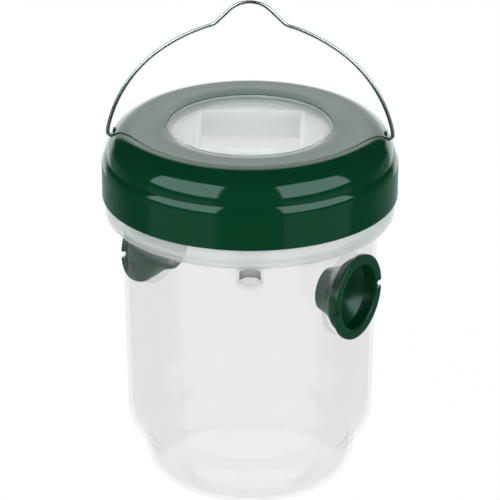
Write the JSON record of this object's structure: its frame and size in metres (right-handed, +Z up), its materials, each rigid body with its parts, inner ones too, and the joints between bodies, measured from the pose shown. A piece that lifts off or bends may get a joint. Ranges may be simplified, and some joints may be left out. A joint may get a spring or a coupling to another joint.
{
  "type": "wasp trap",
  "caption": "Hanging wasp trap: clear round jar with two side entry funnels, domed lid ring with a clear window, hanging lure tube and a wire bail.",
  "frame": {"origin": "centre of the jar's foot, on the surface it stands on", "axes": "+Z up along the jar's axis; the two funnels lie along +X and -X; the bail's axis lies in XY, 31 degrees from +X"},
  "size_m": [0.1152, 0.1152, 0.1986],
  "materials": {
    "clear_plastic": "clear moulded plastic, polished",
    "window_plastic": "clear moulded plastic, polished",
    "pale_plastic": "translucent moulded plastic",
    "green_plastic": "glossy moulded plastic",
    "steel_wire": "bright drawn wire"
  },
  "bodies": {
    "jar": {"jar": "clear_plastic"},
    "insert": {"lid_insert": "pale_plastic", "window_lens": "window_plastic", "lure_tube": "clear_plastic", "tube_cap": "clear_plastic"},
    "cover": {"lid_cover": "green_plastic"},
    "bail": {"bail_handle": "steel_wire"},
    "right_funnel": {"funnel_right": "green_plastic"},
    "left_funnel": {"funnel_left": "green_plastic"}
  },
  "joints": [
    {"name": "lid_lift", "type": "slide", "parent": "jar", "child": "insert", "axis": [0, 0, 1], "range_m": [0, 0.07]},
    {"name": "lid_turn", "type": "hinge", "parent": "insert", "child": "cover", "pos_m": [0, 0, 0], "axis": [0, 0, 1], "range_deg": [-45, 0]},
    {"name": "bail_swing", "type": "hinge", "parent": "cover", "child": "bail", "pos_m": [0, 0, 0.1429], "axis": [0.8572, 0.515, 0], "range_deg": [-78, 78]},
    {"name": "funnel_right_pull", "type": "slide", "parent": "jar", "child": "right_funnel", "axis": [1, 0, 0], "range_m": [0, 0.025]},
    {"name": "funnel_left_pull", "type": "slide", "parent": "jar", "child": "left_funnel", "axis": [-1, 0, 0], "range_m": [0, 0.025]}
  ]
}
